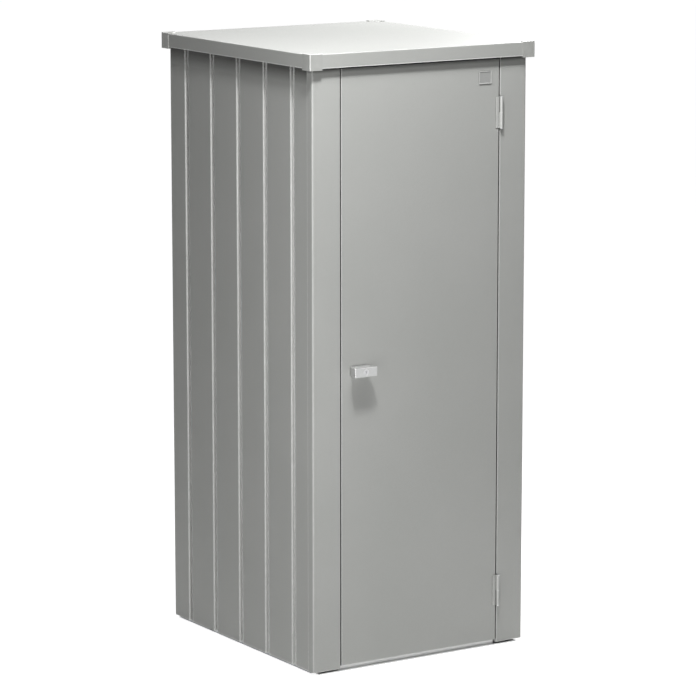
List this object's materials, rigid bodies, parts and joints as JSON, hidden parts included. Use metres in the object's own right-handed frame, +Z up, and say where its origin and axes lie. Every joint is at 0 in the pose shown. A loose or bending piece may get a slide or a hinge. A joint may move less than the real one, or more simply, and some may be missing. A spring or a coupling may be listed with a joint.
{
  "type": "garden_tool_cabinet",
  "caption": "Tall grooved sheet-steel garden tool cabinet with a hinged door, a turning handle and locking rods behind it",
  "frame": {"origin": "The origin is on the ground at the middle of the body's plan, in the underside of the floor panel.", "axes": "X runs to the right of someone who faces the door, the door faces -Y and +Z is up."},
  "size_m": [0.784, 0.8704, 1.827],
  "materials": {
    "paint": "satin metallic powder coat",
    "galvanised": "galvanised",
    "aluminium": "mill finish",
    "cap_plastic": "satin",
    "handle_metal": "satin",
    "lock_chrome": "polished",
    "steel": "zinc plated",
    "cast_zinc": "cast",
    "black_plastic": "matt",
    "rubber": "matt"
  },
  "bodies": {
    "cabinet": {"floor_panel": "galvanised", "sill": "aluminium", "side_wall_left": "paint", "side_wall_right": "paint", "back_wall": "paint", "front_post_left": "paint", "front_post_right": "paint", "header": "paint", "roof_panel": "paint", "roof_stiffener": "galvanised", "base_rail_left": "galvanised", "base_rail_right": "galvanised", "base_rail_back": "galvanised", "top_rail_left": "galvanised", "top_rail_right": "galvanised", "top_rail_back": "galvanised", "roof_cap_front_left": "cap_plastic", "roof_cap_front_right": "cap_plastic", "roof_cap_back_left": "cap_plastic", "roof_cap_back_right": "cap_plastic", "shelf_rail_left": "galvanised", "shelf_rail_right": "galvanised", "shelf": "galvanised", "tool_rail": "galvanised", "tool_hooks": "steel", "door_buffers": "rubber", "hinge_frame_leaf_upper": "paint", "hinge_frame_leaf_lower": "paint", "hinge_pin_upper": "steel", "hinge_pin_lower": "steel"},
    "door": {"door_skin": "paint", "door_stiffener_top": "galvanised", "door_stiffener_middle": "galvanised", "door_stiffener_bottom": "galvanised", "hinge_door_leaf_upper": "paint", "hinge_door_leaf_lower": "paint", "hinge_backing_plates": "galvanised", "lock_case": "cast_zinc", "rod_guide_upper": "black_plastic", "rod_guide_lower": "black_plastic"},
    "handle": {"handle_grip": "handle_metal", "lock_cylinder": "lock_chrome", "handle_spindle": "steel", "cam_plate": "steel", "cam_nut": "steel", "drive_pins": "steel"},
    "plug": {"lock_plug": "lock_chrome"},
    "upper_rod": {"rod_upper": "steel"},
    "lower_rod": {"rod_lower": "steel"}
  },
  "joints": [
    {"name": "door_hinge", "type": "hinge", "parent": "cabinet", "child": "door", "pos_m": [0.2795, -0.4148, 0.8965], "axis": [0, 0, 1], "range_deg": [0, 170]},
    {"name": "handle_turn", "type": "hinge", "parent": "door", "child": "handle", "pos_m": [-0.214, -0.431, 0.8965], "axis": [0, -1, 0], "range_deg": [0, 90]},
    {"name": "plug_turn", "type": "hinge", "parent": "handle", "child": "plug", "pos_m": [-0.214, -0.431, 0.8965], "axis": [0, 1, 0], "range_deg": [0, 90]},
    {"name": "upper_rod_slide", "type": "slide", "parent": "door", "child": "upper_rod", "axis": [0, 0, 1], "range_m": [0, 0.0213]},
    {"name": "lower_rod_slide", "type": "slide", "parent": "door", "child": "lower_rod", "axis": [0, 0, -1], "range_m": [0, 0.0213]}
  ],
  "couplings": [
    {"joint": "upper_rod_slide", "follows": "handle_turn", "m_per_rad": 0.013505},
    {"joint": "lower_rod_slide", "follows": "handle_turn", "m_per_rad": 0.013505}
  ]
}
